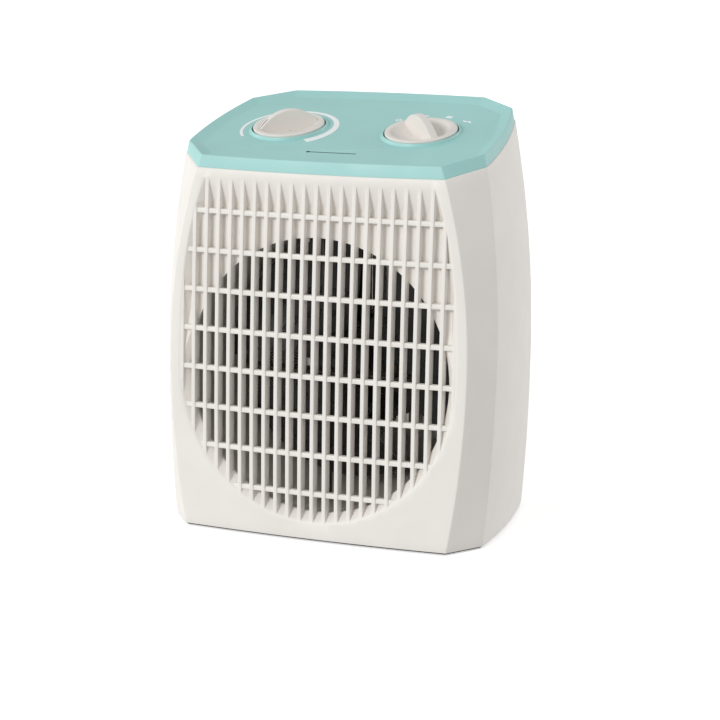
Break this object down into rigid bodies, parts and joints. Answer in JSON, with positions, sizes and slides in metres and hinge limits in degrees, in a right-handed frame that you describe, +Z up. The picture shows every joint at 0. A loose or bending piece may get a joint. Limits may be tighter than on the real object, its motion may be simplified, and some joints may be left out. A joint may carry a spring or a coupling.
{
  "type": "fan heater",
  "caption": "Upright electric fan heater: barrel-shaped plastic casing, moulded front grille, duct with coils and axial fan, sloping cover with thermostat and selector knobs.",
  "frame": {"origin": "centre of the bounding box in plan, on the surface that the feet stand on", "axes": "+Z is up, -Y is the front with the grille, +X is to the right as seen from the front"},
  "size_m": [0.219, 0.1405, 0.262],
  "materials": {
    "casing_plastic": "moulded cream-white plastic, fine satin texture",
    "cover_plastic": "moulded pale teal plastic, satin",
    "knob_plastic": "moulded cream-white plastic, half gloss",
    "dark_plastic": "dark grey moulded plastic",
    "rubber": "soft black rubber",
    "lens_plastic": "smoked clear plastic over the pilot lamp",
    "mica": "brown mica board",
    "heating_wire": "oxidised resistance wire",
    "copper_winding": "varnished copper wire",
    "bright_steel": "bare steel",
    "zinc_steel": "zinc-plated steel",
    "duct_plastic": "cream heat-resistant plastic",
    "phenolic": "dark brown phenolic moulding",
    "terminal_plastic": "off-white moulded plastic"
  },
  "bodies": {
    "housing": {"air_duct": "duct_plastic", "base_plate": "dark_plastic", "base_screw_1": "zinc_steel", "base_screw_2": "zinc_steel", "base_screw_3": "zinc_steel", "base_screw_4": "zinc_steel", "bracket_screw_1": "zinc_steel", "bracket_screw_2": "zinc_steel", "control_bracket": "zinc_steel", "cord_gland": "rubber", "duct_screw_1": "zinc_steel", "duct_screw_2": "zinc_steel", "duct_screw_3": "zinc_steel", "duct_screw_4": "zinc_steel", "foot_front_left": "rubber", "foot_front_right": "rubber", "foot_rear_left": "rubber", "foot_rear_right": "rubber", "front_shell": "casing_plastic", "heating_coil_inner": "heating_wire", "heating_coil_middle": "heating_wire", "heating_coil_outer": "heating_wire", "mica_card_level": "mica", "mica_card_upright": "mica", "motor_coil": "copper_winding", "motor_rear_bracket": "zinc_steel", "motor_screw_1": "zinc_steel", "motor_screw_2": "zinc_steel", "motor_spider": "zinc_steel", "motor_stator": "bright_steel", "pilot_lamp": "lens_plastic", "pilot_lens": "lens_plastic", "rear_screw_1": "zinc_steel", "rear_screw_2": "zinc_steel", "rear_screw_3": "zinc_steel", "rear_screw_4": "zinc_steel", "rear_shell": "casing_plastic", "selector_body": "phenolic", "selector_nut": "zinc_steel", "spider_screw_1": "zinc_steel", "spider_screw_2": "zinc_steel", "spider_screw_3": "zinc_steel", "terminal_block": "terminal_plastic", "thermal_cutout": "phenolic", "thermostat_body": "phenolic", "thermostat_nut": "zinc_steel", "top_cover": "cover_plastic"},
    "fan": {"fan_impeller": "dark_plastic", "fan_cap": "dark_plastic", "motor_rotor": "bright_steel"},
    "thermostat_control": {"thermostat_knob": "knob_plastic", "thermostat_spindle": "bright_steel"},
    "selector_control": {"selector_knob": "knob_plastic", "selector_spindle": "bright_steel"}
  },
  "joints": [
    {"name": "fan_spin", "type": "hinge", "parent": "housing", "child": "fan", "pos_m": [0, 0.018, 0.1021], "axis": [0, -1, 0], "continuous": true},
    {"name": "thermostat_turn", "type": "hinge", "parent": "housing", "child": "thermostat_control", "pos_m": [-0.0439, 0.005, 0.24434], "axis": [0, -0.2268, 0.9739], "range_deg": [-266, 0]},
    {"name": "selector_turn", "type": "hinge", "parent": "housing", "child": "selector_control", "pos_m": [0.0439, 0.005, 0.24434], "axis": [0, -0.2268, 0.9739], "range_deg": [-90, 0]}
  ]
}
